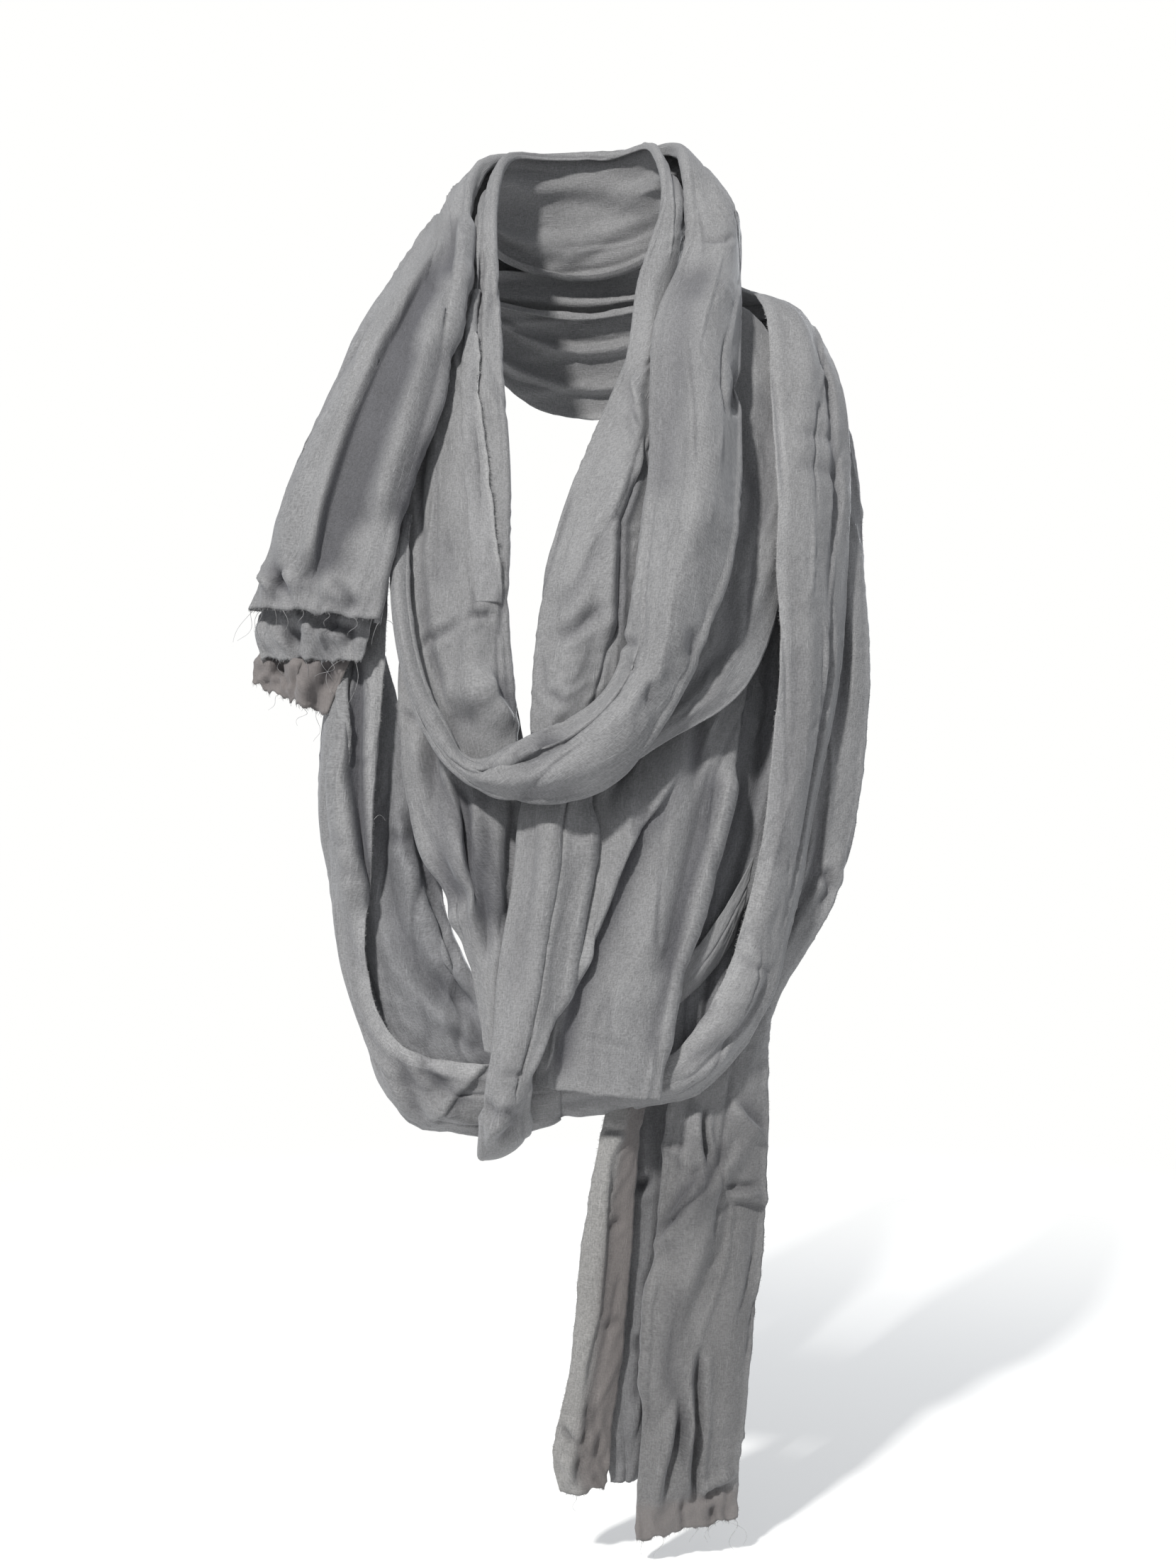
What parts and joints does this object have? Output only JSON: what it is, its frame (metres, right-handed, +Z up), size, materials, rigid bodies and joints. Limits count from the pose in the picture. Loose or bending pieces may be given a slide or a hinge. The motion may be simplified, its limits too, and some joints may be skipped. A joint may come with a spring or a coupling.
{
  "type": "tagelmust",
  "caption": "Long plain grey cloth wound loosely round the neck, with a cowl, hanging loops knotted at the bottom, pleats and a ragged tail.",
  "frame": {"origin": "on the axis of the wearer's neck, at the height where the cloth rests on the nape and shoulders", "axes": "+Z up, -Y towards the viewer and the wearer's front, +X towards the viewer's right, which is the wearer's left"},
  "size_m": [0.4135, 0.3198, 0.9655],
  "materials": {
    "grey_cloth": "thin soft plain weave with slubs and a faint silky sheen",
    "shaded_cloth": "the same cloth in the deep layers",
    "brownish_reverse": "thin single layer with a warm brownish cast, matte",
    "raw_selvedge": "raw, lightly frayed edge strip, matte"
  },
  "bodies": {
    "root": {"end_fall": "grey_cloth", "nape_middle": "grey_cloth", "cowl_right": "grey_cloth", "cowl_edge_left": "grey_cloth", "cowl_left": "grey_cloth", "nape_inner": "grey_cloth", "cowl_inner_right": "grey_cloth", "loop_left": "grey_cloth", "nape_outer": "grey_cloth", "loop_right": "grey_cloth", "nape_lowest": "grey_cloth", "tail_shoulder": "grey_cloth", "tail_wide": "grey_cloth", "tail_strip": "brownish_reverse", "tail_middle": "shaded_cloth", "under_cowl": "grey_cloth", "pleats_right": "grey_cloth", "pleats_middle": "grey_cloth", "pleats_left": "grey_cloth", "inner_layer": "shaded_cloth", "shaded_pleats": "shaded_cloth", "second_layer": "grey_cloth", "third_layer": "brownish_reverse", "corner_flap": "grey_cloth", "selvedge_strip": "raw_selvedge"}
  },
  "joints": []
}
